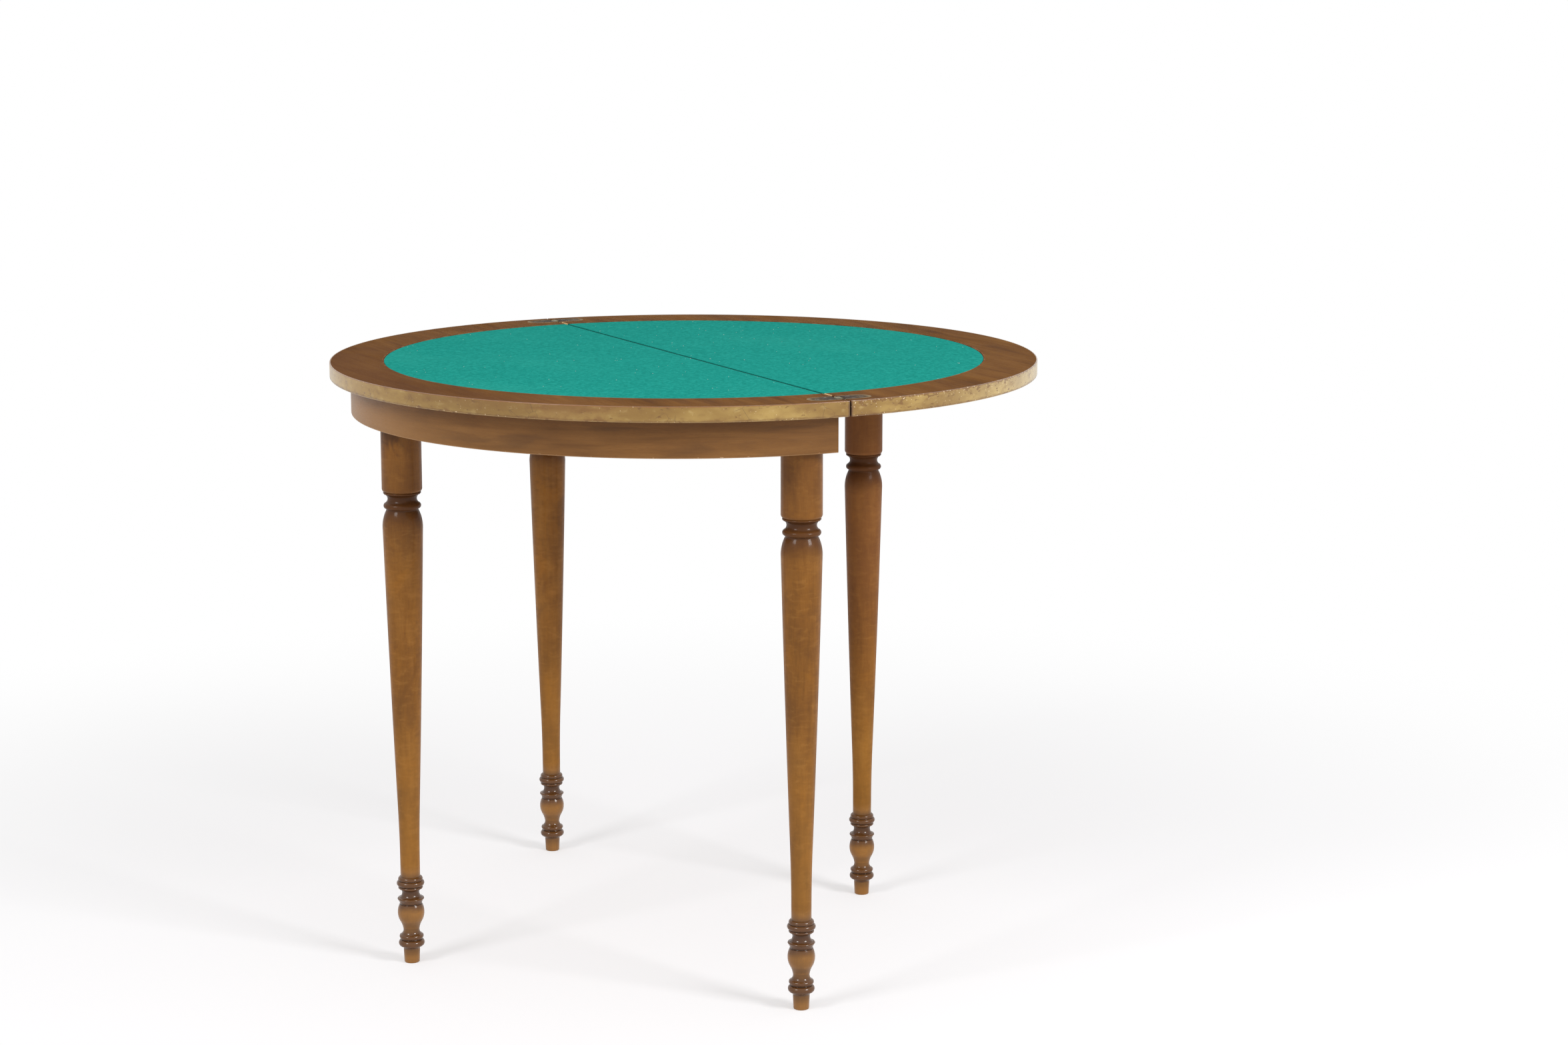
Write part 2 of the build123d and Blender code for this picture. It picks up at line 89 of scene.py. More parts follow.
# %% [markdown]
# Node trees are easier to read as sums than as lists of links. A Wire is one output socket.
# Adding or multiplying wires adds Math nodes to the tree, and `1 - mask` works too, because
# the reflected forms are there. `abs(wire)` takes the sign off, and `larger` gives the larger
# of two values. Every other node comes from one method, `node`. It takes the node's type,
# then its settings, and then what goes into its sockets. The same class serves shader trees
# and Geometry Nodes trees.
# %% A wire that can be added and multiplied
class Wire:
    """One output socket of a node tree. Sums on it add Math nodes."""

    def __init__(self, tree, socket=None):
        self.tree, self.socket = tree, socket

    def node(self, kind, settings=None, inputs=None, output=0):
        """Adds a node: first its settings, then the values or wires of its sockets."""
        made = self.tree.nodes.new(kind)
        for name, value in (settings or {}).items():
            if name == "stops":
                self._set_stops(made.color_ramp, value)
            else:
                setattr(made, name, value)
        for name, value in (inputs or {}).items():
            if isinstance(value, Wire):
                self.tree.links.new(value.socket, made.inputs[name])
            elif isinstance(value, list):
                for wire in value:
                    self.tree.links.new(wire.socket, made.inputs[name])
            else:
                made.inputs[name].default_value = value
        return Wire(self.tree, made.outputs[output]) if len(made.outputs) else made

    @staticmethod
    def _set_stops(ramp, stops):
        while len(ramp.elements) < len(stops):
            ramp.elements.new(1.0)
        for element, (place, colour) in zip(ramp.elements, stops):
            element.position, element.color = place, colour

    def twin(self, output):
        """Another output of the node that this wire comes from."""
        return Wire(self.tree, self.socket.node.outputs[output])

    def math(self, operation, *values):
        return self.node("ShaderNodeMath", {"operation": operation}, dict(enumerate(values)))

    def __add__(self, other):
        return self.math("ADD", self, other)

    __radd__ = __add__

    def __sub__(self, other):
        return self.math("SUBTRACT", self, other)

    def __rsub__(self, other):
        return self.math("SUBTRACT", other, self)

    def __mul__(self, other):
        return self.math("MULTIPLY", self, other)

    __rmul__ = __mul__

    def __truediv__(self, other):
        return self.math("DIVIDE", self, other)

    def __pow__(self, other):
        return self.math("POWER", self, other)

    def __abs__(self):
        return self.math("ABSOLUTE", self)

    def larger(self, other):
        return self.math("MAXIMUM", self, other)


# %% [markdown]
# A few more words for shaders. `band` rises from 0 to 1 between two values, which makes a
# mask of any measure. `mix` blends two colours by a mask. `paint` takes a colour as it looks
# on a screen, from 0 to 255, and gives the linear colour that a shader wants. `apart` takes
# a place apart into its coordinates, and `joined` puts one together. `mottle` is noise whose
# patches have a size in metres, so every pattern below can be read as a length.
# %% Words for masks and colours
WHOLE = 255.0


def paint(red, green, blue):
    """A colour as it looks on a screen, 0 to 255, as the shader's linear colour."""
    linear = []
    for value in (red / WHOLE, green / WHOLE, blue / WHOLE):
        linear.append(value / 12.92 if value <= 0.04045 else ((value + 0.055) / 1.055) ** 2.4)
    return (*linear, 1.0)


def band(wire, low, high):
    """0 below low and 1 above high, smooth between. Low may be the larger one."""
    return wire.node(
        "ShaderNodeMapRange",
        {"interpolation_type": "SMOOTHSTEP"},
        {"Value": wire, "From Min": low, "From Max": high},
    )


def mix(mask, first, second):
    """The first colour where the mask is 0, the second where it is 1."""
    return mask.node("ShaderNodeMix", {"data_type": "RGBA"}, {0: mask, 6: first, 7: second}, 2)


def apart(place):
    """The three coordinates of a place, as three wires."""
    x = place.node("ShaderNodeSeparateXYZ", {}, {"Vector": place})
    return x, x.twin(1), x.twin(2)


def joined(start, **parts):
    """A vector of the coordinates X, Y and Z. Those left out are 0."""
    return start.node("ShaderNodeCombineXYZ", {}, parts)


def mottle(place, size, detail=3.0, stretch=(1, 1, 1), shift=(0, 0, 0), warp=0.0):
    """Noise from 0 to 1 whose patches are about this size in metres, longer where stretched."""
    mapping = {
        "Vector": place,
        "Scale": tuple(1 / (size * s) for s in stretch),
        "Location": shift,
    }
    return place.node(
        "ShaderNodeTexNoise",
        {"noise_dimensions": "3D"},
        {
            "Vector": place.node("ShaderNodeMapping", {}, mapping),
            "Scale": 1.0,
            "Detail": detail,
            "Roughness": 0.55,
            "Distortion": warp,
        },
    )


print("a screen's middle grey is", round(paint(128, 128, 128)[0], 3), "in linear light")

# %% [markdown]
# A finish is one material. `new_finish` clears a material's tree and gives a Wire to start
# from. `coat` ends it: the values that are the same all over go on the shader's own sockets,
# and what changes over the surface is linked to colour, roughness, metal, coat weight or a
# bump.
# %% Start and end a finish
def new_finish(name):
    """A new material and the wire that starts its tree: the place on the object in metres."""
    material = bpy.data.materials.new(name)
    material.use_nodes = True
    material.node_tree.nodes.clear()
    start = Wire(material.node_tree)
    return material, start.node("ShaderNodeTexCoord", output="Object")


def coat(place, colour, roughness, height=None, depth=0.1 * MM, **others):
    """The last nodes of a finish. Height is a pattern from 0 to 1, depth its real depth."""
    inputs = {"Base Color": colour, "Roughness": roughness}
    inputs.update({name.replace("_", " "): value for name, value in others.items()})
    if height is not None:
        inputs["Normal"] = place.node(
            "ShaderNodeBump", {}, {"Height": height, "Distance": depth, "Strength": 1.0}
        )
    shader = place.node("ShaderNodeBsdfPrincipled", {}, inputs)
    place.node("ShaderNodeOutputMaterial", {}, {"Surface": shader})


def tell(finish):
    """Prints how many nodes a finish has."""
    print(finish.name, "has", len(finish.node_tree.nodes), "nodes")


# %% [markdown]
# Wood is one recipe with many settings. Seen close, it has three patterns in one direction:
# wide soft figure, narrow streaks and short dark pores. Each is noise that is stretched
# along the grain. The stain on top has patches that don't follow the grain. `wood_tones`
# gives the colour and the pore pattern, so each finish can add its own wear.
# %% The patterns of wood
def wood_tones(place, grain, tones, figure=18 * MM, shift=(0, 0, 0), warp=0.6, mild=0.16, long=14):
    """Colour, pores and tone of wood whose grain runs along axis 0, 1 or 2.

    The tones are a dark, a middle and a light colour, as they look on a screen. Mild wood has
    soft figure, and in long wood each patch is many times longer than wide.
    """
    dark, middle, light = (paint(*tone) for tone in tones)

    def along(length):
        return tuple(length if axis == grain else 1.0 for axis in range(3))

    wide = mottle(place, figure, 3.0, along(long), shift, warp)
    streak = mottle(place, figure / 5, 2.0, along(long * 3), shift, warp / 2)
    patch = mottle(place, figure * 3, 2.0, along(2), shift)
    pores = mottle(place, 0.5 * MM, 2.0, along(16), shift)
    tone = wide * 0.42 + streak * 0.2 + patch * 0.38
    colour = tone.node(
        "ShaderNodeValToRGB",
        {"stops": [(0.5 - mild, dark), (0.5, middle), (0.5 + mild, light)]},
        {"Fac": tone},
    )
    fleck = band(pores, 0.50, 0.32)
    colour = mix(fleck * 0.22, colour, dark)
    return colour, fleck, tone


# %% [markdown]
# The legs are stained honey brown, paler toward the foot. Painted shade darkens their tops,
# under the table top, and their coves and grooves, and three parts are dark all round: the
# beads of the foot, its ring and the collar down to the shoulder. Each of the three is written
# as its low end and how softly it starts, then its high end and how softly it stops. The
# turned legs carry an attribute named recess, made with their shape, which says how deep
# each place lies and so how much painted shade it gets. Soft curl crosses the grain, and a
# dark knot shows at the top of the front leg. The feet are the glossiest, and the pull-out
# leg is duller and a little redder than the others.
# %% Finish of the legs
knot_place = (16 * MM, -405 * MM, 676 * MM)
knot_size = 20 * MM
knot_ragged = 50 * MM
pull_out_side = (0.0, 200 * MM)
paler_below = (400 * MM, 150 * MM)
painted_shade_above = (500 * MM, 640 * MM)
redder_above = (150 * MM, 500 * MM)
glossy_below = (130 * MM, 115 * MM)
stained_parts = (
    (17 * MM, 4 * MM, 44 * MM, 8 * MM),
    (66 * MM, 10 * MM, 114 * MM, 3 * MM),
    (550 * MM, 30 * MM, 607 * MM, 4 * MM),
)

leg_finish, place = new_finish("leg_wood")
recess = place.node("ShaderNodeAttribute", {"attribute_name": "recess"}, output="Fac")
leg_tones = ((98, 62, 24), (125, 81, 31), (144, 98, 42))
colour, fleck, tone = wood_tones(place, 2, leg_tones, 26 * MM, warp=1.2, mild=0.2, long=4)
patch = mottle(place, 50 * MM, 3.0, (1, 1, 1.6), (3, 1, 2), 0.8)
colour = mix(band(patch, 0.45, 0.72) * 0.4, colour, paint(152, 98, 28))
colour = mix(band(patch, 0.46, 0.26) * 0.45, colour, paint(92, 58, 28))
curl = mottle(place, 6 * MM, 3.0, (2.6, 2.6, 1), (8, 2, 2), 0.6)
colour = mix(band(curl, 0.5, 0.75) * 0.22, colour, paint(164, 116, 56))
colour = mix(band(curl, 0.5, 0.28) * 0.22, colour, paint(92, 56, 24))
_, y, z = apart(place)
pull_out = band(y, *pull_out_side)
colour = mix(band(z, *paler_below) * 0.3, colour, paint(158, 112, 50))
# painted shade: the tops of the legs, under the table top, are darker
colour = mix(band(z, *painted_shade_above) * 0.34, colour, paint(92, 57, 31))
colour = mix(pull_out * band(z, *redder_above) * 0.35, colour, paint(116, 72, 50))
for low, fade_in, high, fade_out in stained_parts:
    cloudy = z + (patch - 0.5) * fade_in
    zone = band(cloudy, low, low + fade_in) * band(z, high, high - fade_out)
    colour = mix(zone * 0.76, colour, paint(70, 40, 21))
# painted shade in the coves and grooves, darker where the recess is deeper
painted_recess_shade = band(recess + (patch - 0.5) * 0.2, 0.25, 1.0)
colour = mix(painted_recess_shade * 0.42, colour, paint(48, 26, 14))
offset = place.node("ShaderNodeVectorMath", {"operation": "SUBTRACT"}, {0: place, 1: knot_place})
reach = place.node("ShaderNodeVectorMath", {"operation": "LENGTH"}, {0: offset}, "Value")
ragged = reach + (mottle(place, 12 * MM, 4.0, (1, 1, 2.0), (0, 1, 0), 1.0) - 0.5) * knot_ragged
colour = mix(band(ragged, knot_size * 1.2, knot_size / 5) * 0.6, colour, paint(52, 34, 26))
dents = mottle(place, 30 * MM, 2.0, (1, 1, 3), (5, 5, 5))
gloss = 0.2 - pull_out * 0.15 + band(z, *glossy_below) * 0.5
coat(
    place,
    colour,
    0.42 + fleck * 0.12 - (tone - 0.5) * 0.2,
    dents * 0.8 + fleck * -0.2,
    0.15 * MM,
    Specular_IOR_Level=0.06,
    Coat_Weight=gloss,
    Coat_Roughness=0.14,
)
tell(leg_finish)

# %% [markdown]
# The border round the cloth is thin veneer with its grain along the joint, the same way on
# both halves. Darker streaks run through it, the wax is rubbed dull in places, and the front
# of the fixed half is darker. A thin reddish line shows next to the cloth, where the cutter
# went through to the ground, and the ends of the joint beside the cloth are bare wood.
# %% Finish of the border
baize_radius = 381.4 * MM
rim_radius = 450.0 * MM
cut_inner = baize_radius + 1.0 * MM
cut_outer = baize_radius + 3.2 * MM
bare_end = baize_radius + 20 * MM
front_dark = (-260 * MM, -420 * MM)

border_finish, place = new_finish("border_veneer")
veneer_tones = ((84, 50, 17), (107, 68, 26), (123, 82, 35))
colour, fleck, _ = wood_tones(place, 0, veneer_tones, 16 * MM, mild=0.15, long=9)
x, y, _ = apart(place)
from_middle = (x * x + y * y) ** 0.5
cut = band(from_middle, cut_outer, cut_inner)
chipped = band(mottle(place, 14 * MM, 3.0, (1, 1, 1), (2, 7, 1)), 0.46, 0.6)
colour = mix(cut * 0.45, colour, paint(118, 62, 38))
colour = mix(cut * chipped * 0.5, colour, paint(168, 128, 92))
bare = band(abs(y), 2.4 * MM, 2.0 * MM) * band(from_middle, bare_end, bare_end - MM)
colour = mix(bare * 0.9, colour, paint(222, 184, 132))
colour = mix(band(y, *front_dark) * 0.45, colour, paint(82, 44, 14))
worn = band(mottle(place, 60 * MM, 3.0, (2, 1, 1)), 0.5, 0.8)
coat(
    place,
    mix(worn * 0.15, colour, paint(122, 86, 48)),
    0.66 + worn * 0.12 + fleck * 0.1,
    fleck * -1.0,
    0.04 * MM,
    Specular_IOR_Level=0.03,
)
tell(border_finish)

# %% [markdown]
# The rim is painted tan over the brown wood, and painted light makes it paler on the flap
# and at the front. The paint is worn: brown shows along the lower edge and in a handled
# stretch to the left of the right leg, a thin brown line runs along the upper arris, fine
# cracks cross it, and on the flap the paint has flaked. The pattern follows the rim, so
# `round_rim` turns x and y into the length along the rim and stays with the height for the
# other direction. The apron uses it too.
# %% Finish of the painted rim
rim_top = 750.0 * MM
rim_bottom = 731.5 * MM
handled_start = (-1.3, -1.1)
handled_end = (-0.5, -0.64)
painted_light_flap = (50 * MM, 400 * MM)
painted_light_front = (250 * MM, -20 * MM)
joint_brown = (4.0 * MM, 1.2 * MM)
worn_reach = (470 * MM, 320 * MM)


def round_rim(place, radius):
    """The turn about the upright axis, and the strip that the rim makes when unrolled."""
    x, y, z = apart(place)
    turn = place.math("ARCTAN2", y, x)
    return turn, joined(place, X=turn * radius, Y=z)


rim_finish, place = new_finish("painted_band")
x, y, z = apart(place)
turn, strip = round_rim(place, rim_radius)
fade = mottle(strip, 45 * MM, 3.0, (2.5, 1, 1))
dirt = mottle(strip, 9 * MM, 4.0, (1.8, 1, 1), (4, 0, 0))
colour = mix(band(fade, 0.35, 0.7), paint(131, 99, 43), paint(168, 139, 75))
# painted light: the rim is paler on the flap
colour = mix(band(y, *painted_light_flap) * 0.4, colour, paint(206, 188, 140))
# painted light: the rim is paler and warmer at the front
colour = mix(band(x, *painted_light_front) * 0.4, colour, paint(184, 146, 66))
colour = mix(band(dirt, 0.48, 0.75) * 0.5, colour, paint(114, 78, 36))
colour = mix(band(dirt, 0.45, 0.25) * 0.35, colour, paint(190, 166, 108))
ragged = (mottle(strip, 6 * MM, 4.0, (2, 1, 1), (9, 1, 0)) - 0.5) * 6 * MM
lower = band(z + ragged, rim_bottom + 3.5 * MM, rim_bottom)
colour = mix(lower * 0.75, colour, paint(96, 62, 28))
stretch = band(turn, *handled_end) * band(turn, *handled_start)
high_up = band(z, rim_bottom + 4 * MM, rim_top - 3 * MM)
handled = stretch * (high_up * 0.3 + band(fade + dirt * 0.3, 0.56, 0.78) * 0.5)
colour = mix(handled, colour, paint(112, 70, 22))
upper = band(z + ragged * 0.25, rim_top - 1.3 * MM, rim_top - 0.5 * MM)
colour = mix(upper * 0.7, colour, paint(130, 78, 28))
bottom_arris = band(z + ragged * 0.1, rim_bottom + 1.0 * MM, rim_bottom + 0.4 * MM)
colour = mix(bottom_arris * 0.5, colour, paint(200, 168, 106))
colour = mix(band(abs(y) + ragged * 0.4, *joint_brown) * 0.8, colour, paint(70, 38, 22))
cracks = place.node(
    "ShaderNodeTexVoronoi",
    {"feature": "DISTANCE_TO_EDGE"},
    {"Vector": strip, "Scale": 1 / (16 * MM), "Randomness": 1.0},
)
cracked = band(mottle(strip, 40 * MM, 2.0, (1, 1, 1), (1, 6, 0)), 0.56, 0.68)
crack = band(cracks, 0.02, 0.0) * cracked
on_flap = band(y, -1 * MM, 1 * MM)
flake_noise = mottle(strip, 5 * MM, 5.0, (2.2, 1, 1), (7, 3, 0))
high = band(z, rim_top - 9 * MM, rim_top - 1 * MM)
worn_part = on_flap * (high * 0.75 + 0.25) * band(abs(y), *worn_reach)
flake = band(flake_noise + worn_part * 0.14 + upper * 0.08 + lower * 0.08, 0.645, 0.68)
colour = mix(crack * 0.55, colour, paint(76, 48, 28))
colour = mix(flake * 0.7, colour, paint(108, 70, 26))
speck_noise = mottle(strip, 2.4 * MM, 3.0, (1.5, 1, 1), (3, 3, 0))
speck = band(speck_noise + worn_part * 0.08 + lower * 0.05, 0.68, 0.74)
colour = mix(speck * 0.75, colour, paint(226, 202, 164))
coat(
    place,
    colour,
    0.5 + dirt * 0.15 - flake * 0.1,
    (1 - flake) * 0.8 - crack * 0.6 + dirt * 0.2,
    0.2 * MM,
    Specular_IOR_Level=0.2,
    Coat_Weight=0.75,
    Coat_Roughness=0.22,
)
tell(rim_finish)

# %% [markdown]
# Baize is woollen cloth with a raised nap. Up close it is a felt of tiny fibres in slightly
# different greens. From a low angle the nap catches light, which is what sheen is for. Its
# amount is the same all over, so it is set on the shader itself.
# %% Finish of the baize
baize_finish, place = new_finish("baize")
fibres = mottle(place, 0.9 * MM, 3.0, (1, 1, 1), (0, 0, 0), 1.5)
weave = mottle(place, 3.4 * MM, 4.0, (1, 1.3, 1))
rubbed = mottle(place, 130 * MM, 3.0, (1.6, 1, 1), (0, 2, 0))
colour = mix(band(fibres, 0.3, 0.72), paint(2, 128, 116), paint(14, 152, 140))
colour = mix(band(weave, 0.42, 0.66) * 0.5, colour, paint(40, 172, 158))
colour = mix(band(weave, 0.44, 0.28) * 0.35, colour, paint(2, 116, 106))
colour = mix(band(rubbed, 0.5, 0.8) * 0.2, colour, paint(50, 168, 152))
seam = band(abs(apart(place)[1]), 3.0 * MM, 2.0 * MM)
colour = mix(seam * 0.45, colour, paint(10, 66, 58))
coat(
    place,
    colour,
    0.97,
    fibres * 0.7 + weave * 0.6,
    0.25 * MM,
    Sheen_Weight=0.02,
    Sheen_Roughness=0.5,
    Specular_IOR_Level=0.0,
)
tell(baize_finish)

# %% [markdown]
# The apron's veneer has its grain along the curve, with dark smoky streaks. Painted shade
# darkens its top under the rim, and painted light makes its front paler, most of all low
# down. The same strip as for the paint makes the grain follow the bow. Small nicks along the
# lower edge show pale wood.
# %% Finish of the apron
apron_radius = 424.0 * MM
frame_bottom = 685.5
apron_bottom = frame_bottom * MM
apron_top = rim_bottom
painted_light_bow = (240 * MM, -20 * MM)

apron_finish, place = new_finish("apron_veneer")
x, _, z = apart(place)
_, strip = round_rim(place, apron_radius)
apron_tones = ((90, 58, 27), (117, 79, 39), (135, 96, 52))
colour, fleck, _ = wood_tones(strip, 0, apron_tones, 20 * MM, (2, 0, 0), 1.0, 0.24, 9)
smoke = mottle(strip, 22 * MM, 3.0, (7, 1, 1), (5, 0, 0), 0.5)
colour = mix(band(smoke, 0.48, 0.72) * 0.45, colour, paint(80, 54, 32))
# painted shade: the top of the apron, under the rim, is darker
colour = mix(band(z, apron_top - 16 * MM, apron_top) * 0.3, colour, paint(70, 42, 22))
# painted light: the front of the apron is paler, most of all low down
low_down = band(z, apron_top - 6 * MM, apron_bottom + 14 * MM)
painted_light = band(x, *painted_light_bow) * (low_down * 0.6 + 0.4)
colour = mix(painted_light * 0.5, colour, paint(164, 120, 68))
nick_edge = band(z, apron_bottom + 2.2 * MM, apron_bottom + 0.4 * MM)
nick = nick_edge * band(mottle(strip, 3.5 * MM, 3.0, (1.5, 1, 1), (0, 8, 0)), 0.62, 0.68)
colour = mix(nick * 0.8, colour, paint(214, 184, 148))
speck = band(mottle(strip, 2.0 * MM, 2.0, (1, 1, 1), (6, 1, 0)), 0.79, 0.82)
colour = mix(speck * 0.6, colour, paint(196, 160, 118))
worn_edge = band(z + (speck - 0.5) * MM, apron_bottom + 0.9 * MM, apron_bottom + 0.2 * MM)
colour = mix(worn_edge * 0.5, colour, paint(168, 128, 84))
coat(
    place,
    colour,
    0.42 + fleck * 0.12,
    fleck * -1.0 - nick * 2.0,
    0.06 * MM,
    Specular_IOR_Level=0.14,
    Coat_Weight=0.14,
    Coat_Roughness=0.2,
)
tell(apron_finish)

# %% [markdown]
# Inside the frame, and on the undersides, the wood is plain and unpolished: paler, drier
# and with clear pores. One function makes these finishes, because they differ only in the
# direction of the grain, the three tones and how dull they are. The flap's underside is
# the top of the closed table, so it is veneered like the border.
# %% Plain woods
def plain_wood(name, grain, tones, roughness=0.62, shift=(0, 0, 0), painted_joint_shade=False):
    """A plain wood finish, with a little grime in patches and, if asked, painted shade at the joint.
    """
    material, place = new_finish(name)
    colour, fleck, tone = wood_tones(place, grain, tones, 20 * MM, shift)
    grime = mottle(place, 35 * MM, 4.0, (1, 1, 1), (1, 1, 1))
    colour = mix(band(grime, 0.55, 0.8) * 0.35, colour, paint(*tones[0]))
    if painted_joint_shade:
        # painted shade: the wood is near black in the gap between the two halves
        painted_gap_shade = band(abs(apart(place)[1]), 3.0 * MM, 2.0 * MM)
        colour = mix(painted_gap_shade * 0.92, colour, paint(34, 26, 20))
    coat(place, colour, roughness + fleck * 0.15, fleck * -1.0 + tone * 0.4, 0.08 * MM)
    return material


core_tones = ((140, 104, 68), (178, 138, 94), (202, 166, 120))
rail_tones = ((128, 92, 58), (164, 122, 80), (186, 146, 102))
slide_tones = ((140, 104, 70), (174, 136, 96), (196, 160, 118))
core_finish = plain_wood("core_wood", 0, core_tones, painted_joint_shade=True)
flap_finish = plain_wood("flap_veneer", 0, veneer_tones, 0.45, (4, 4, 0))
rail_finish = plain_wood("frame_wood", 0, rail_tones, 0.6)
block_finish = plain_wood("block_wood", 2, rail_tones, 0.6, (2, 3, 1))
slide_finish = plain_wood("slide_wood", 0, slide_tones, 0.55)
runner_finish = plain_wood("runner_wood", 1, slide_tones, 0.5, (1, 5, 2))
for finish in (core_finish, flap_finish, rail_finish, block_finish, slide_finish, runner_finish):
    tell(finish)


# %% [markdown]
# The card-table hinges are brass gone dark, with a paler rubbed link in the middle. The
# metal is the same kind of thing each time: a dark skin in patches over bright metal, and
# fine scratches in one direction that change the gloss. On the hinge leaves the skin is
# thick beside the pins, and hands have rubbed it off along the outline. Old brass doesn't
# mirror the room at a low angle, so its edge tint is dark.
# %% Metals
hinge_middle = 421.0 * MM
leaf_half = 14.0 * MM
leaf_reach = 41.0 * MM
leaf_edge_tint = (0.26, 0.23, 0.2, 1.0)
rubbed_brass = (206, 186, 156)
metals = {
    "hinge_brass": ((158, 138, 112), (104, 88, 70), (26, 19, 20), 0.46, 0.48, True),
    "link_brass": ((160, 150, 96), (122, 112, 70), (62, 54, 36), 0.42, 0.5),
    "screw_brass": ((120, 106, 84), (88, 76, 60), (40, 34, 30), 0.45, 0.5),
    "pin_steel": ((196, 194, 190), (150, 148, 144), (84, 80, 76), 0.3, 0.36),
    "screw_steel": ((150, 148, 144), (110, 106, 102), (60, 52, 46), 0.42, 0.48),
}


def metal(name, bright, dull, skin, roughness, cover, leaf=False):
    """Worn metal: bright metal, a dull tone and a dark skin, rubbed off a leaf's outline."""
    material, place = new_finish(name)
    scratch = mottle(place, 0.4 * MM, 2.0, (1, 18, 1))
    patch = mottle(place, 5 * MM, 4.0, (1, 1.6, 1), (2, 2, 0))
    colour = mix(band(scratch, 0.35, 0.7), paint(*dull), paint(*bright))
    covered = band(patch, cover + 0.14, cover - 0.14)
    if leaf:
        x, y, _ = apart(place)
        across = (abs(x) - hinge_middle) / leaf_half
        along = y / leaf_reach
        inside = band(across**4 + along**4, 0.8, 0.45)
        by_pins = band(along**2 + (patch - 0.5) * 0.5, 0.4, 0.2)
        covered = covered.larger(by_pins * 0.9) * inside
        colour = mix((1 - inside) * 0.75, colour, paint(*rubbed_brass))
    coat(
        place,
        mix(covered * 0.85, colour, paint(*skin)),
        roughness + covered * 0.22 - scratch * 0.1,
        scratch * 0.5 + covered * 0.5,
        0.05 * MM,
        Metallic=1 - covered * 0.5,
        Specular_Tint=leaf_edge_tint if leaf else (1, 1, 1, 1),
    )
    tell(material)
    return material


metal_finish = {name: metal(name, *values) for name, values in metals.items()}

# %% [markdown]
# Each CAD solid gets its finish. The rails run along the joint, the slide's arms and
# runners run across it, and the blocks stand upright, so the same wood has three grain
# directions.
# %% Finish the CAD solids
finish_of_node = {
    core_finish: ["fixed_top", "flap_top"],
    flap_finish: ["flap_veneer"],
    border_finish: ["fixed_border", "flap_border"],
    rim_finish: ["fixed_edge_band", "flap_edge_band"],
    baize_finish: ["fixed_baize", "flap_baize"],
    metal_finish["hinge_brass"]: ["fixed_hinge_leaves", "flap_hinge_leaves"],
    metal_finish["link_brass"]: ["hinge_links"],
    metal_finish["pin_steel"]: ["fixed_hinge_pins", "flap_hinge_pins"],
    metal_finish["screw_brass"]: ["fixed_hinge_screws", "flap_hinge_screws"],
    apron_finish: ["bow_apron"],
    rail_finish: ["back_rail_left", "back_rail_right", "glue_blocks"],
    block_finish: ["corner_block_left", "corner_block_right", "front_block"],
    leg_finish: ["leg_front", "leg_left", "leg_right", "leg_slide"],
    runner_finish: ["guide_left", "guide_right", "slide_stops", "slide_arm_left", "slide_arm_right"],
    slide_finish: ["slide_front", "slide_tie", "slide_leg_block"],
    metal_finish["screw_steel"]: ["top_screws"],
}
for finish, nodes in finish_of_node.items():
    for node in nodes:
        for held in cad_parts[node].material_slots:
            held.material = finish
print("finished", sum(len(nodes) for nodes in finish_of_node.values()), "CAD nodes")

# %% [markdown]
# Geometry Nodes need a tree with named inputs. `new_tree` makes one, and `grow` runs it
# once on a mesh: it sets each input by its identifier, reads the evaluated mesh back as a
# plain mesh and takes the modifier off. What is left is an ordinary object at the origin,
# and `seat` puts it on its body. `moved` and `random_value` name what the trees do often.
# %% Make and run a tree of Geometry Nodes
def new_tree(name, inputs):
    """A tree with a geometry input, these named inputs and a geometry output."""
    tree = bpy.data.node_groups.new(name, "GeometryNodeTree")
    tree.interface.new_socket("Geometry", in_out="INPUT", socket_type="NodeSocketGeometry")
    for label, kind in inputs.items():
        tree.interface.new_socket(label, in_out="INPUT", socket_type="NodeSocket" + kind)
    tree.interface.new_socket("Geometry", in_out="OUTPUT", socket_type="NodeSocketGeometry")
    start = Wire(tree).node("NodeGroupInput")
    return tree, {label: start.twin(label) for label in ("Geometry", *inputs)}


def moved(made, place):
    """The same geometry, shifted."""
    return made.node("GeometryNodeTransform", {}, {"Geometry": made, "Translation": place})


def random_value(start, low, high, seed):
    """A random number between low and high for every point."""
    numbers = {2: low, 3: high, "Seed": seed}
    return start.node("FunctionNodeRandomValue", {"data_type": "FLOAT"}, numbers, 1)


def end_tree(made, material):
    """Realizes what a tree made, gives it its material and sends it out."""
    real = made.node("GeometryNodeRealizeInstances", {}, {"Geometry": made})
    done = made.node("GeometryNodeSetMaterial", {}, {"Geometry": real, "Material": material})
    made.node("NodeGroupOutput", {}, {"Geometry": done})
    print("tree of", made.tree.name, "has", len(made.tree.nodes), "nodes")


def grow(name, tree, mesh, values, body, slot, *nodes):
    """Runs a tree on a mesh and keeps the result as a plain piece on this body."""
    piece = add_object(name, mesh)
    maker = piece.modifiers.new("maker", "NODES")
    maker.node_group = tree
    for item in tree.interface.items_tree:
        if item.in_out == "INPUT" and item.name in values:
            maker[item.identifier] = values[item.name]
    bpy.context.view_layer.update()
    ready = piece.evaluated_get(bpy.context.evaluated_depsgraph_get())
    made = bpy.data.meshes.new_from_object(ready)
    piece.modifiers.clear()
    piece.data = made
    return seat(piece, body, slot, *nodes)


def seat(piece, body, slot, *nodes):
    """Puts a finished piece on its body, in place of these CAD nodes."""
    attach(piece, body)
    if nodes:
        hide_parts(*nodes)
    print(piece.name, len(piece.data.polygons), "faces on", body)
    return piece


